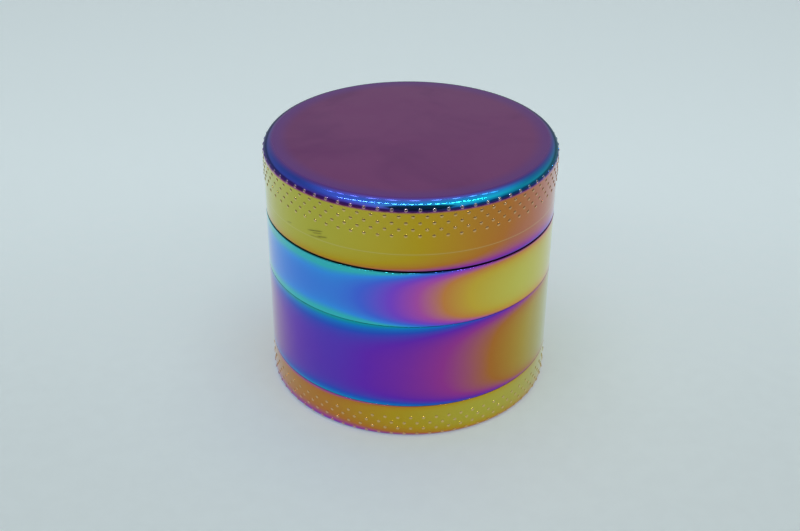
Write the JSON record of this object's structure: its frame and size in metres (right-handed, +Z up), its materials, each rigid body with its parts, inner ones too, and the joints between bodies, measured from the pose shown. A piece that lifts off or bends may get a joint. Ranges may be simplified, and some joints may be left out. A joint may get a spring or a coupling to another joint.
{
  "type": "herb grinder",
  "caption": "Cylindrical metal herb grinder: a magnetic toothed lid, a toothed grinding chamber, a screened sifter chamber and a base tray, screwed together.",
  "frame": {"origin": "centre of the flat underside of the base tray", "axes": "+Z up the common axis of all the turned pieces, from the base tray to the lid; +X runs along a lane between the grinding teeth"},
  "size_m": [0.05, 0.05, 0.0447],
  "materials": {
    "base_coat": "gloss",
    "sifter_coat": "gloss",
    "chamber_coat": "gloss",
    "lid_coat": "gloss",
    "stainless_steel": "satin",
    "steel_mesh": "satin",
    "magnet_plating": "gloss",
    "black_nylon": "matte"
  },
  "bodies": {
    "base": {"base_tray": "base_coat"},
    "sifter_rider": {"screen_ring": "stainless_steel"},
    "sifter": {"sifter_chamber": "sifter_coat", "sifter_screen": "steel_mesh"},
    "chamber_rider": {"chamber_magnet": "magnet_plating"},
    "chamber": {"grinding_chamber": "chamber_coat"},
    "lid_rider": {"glide_ring": "black_nylon"},
    "lid": {"lid": "lid_coat", "lid_magnet": "magnet_plating"}
  },
  "joints": [
    {"name": "sifter_rise", "type": "slide", "parent": "base", "child": "sifter_rider", "axis": [0, 0, 1], "range_m": [0, 0.0035]},
    {"name": "sifter_unscrew", "type": "hinge", "parent": "sifter_rider", "child": "sifter", "pos_m": [0, 0, 0.00635], "axis": [0, 0, 1], "range_deg": [0, 840]},
    {"name": "chamber_rise", "type": "slide", "parent": "sifter", "child": "chamber_rider", "axis": [0, 0, 1], "range_m": [0, 0.0035]},
    {"name": "chamber_unscrew", "type": "hinge", "parent": "chamber_rider", "child": "chamber", "pos_m": [0, 0, 0.02223], "axis": [0, 0, 1], "range_deg": [0, 840]},
    {"name": "lid_turn", "type": "hinge", "parent": "chamber", "child": "lid_rider", "pos_m": [0, 0, 0.03255], "axis": [0, 0, 1], "continuous": true},
    {"name": "lid_lift", "type": "slide", "parent": "lid_rider", "child": "lid", "axis": [0, 0, 1], "range_m": [0, 0.03]}
  ],
  "couplings": [
    {"joint": "sifter_rise", "follows": "sifter_unscrew", "m_per_rad": 0.00023873},
    {"joint": "chamber_rise", "follows": "chamber_unscrew", "m_per_rad": 0.00023873}
  ]
}
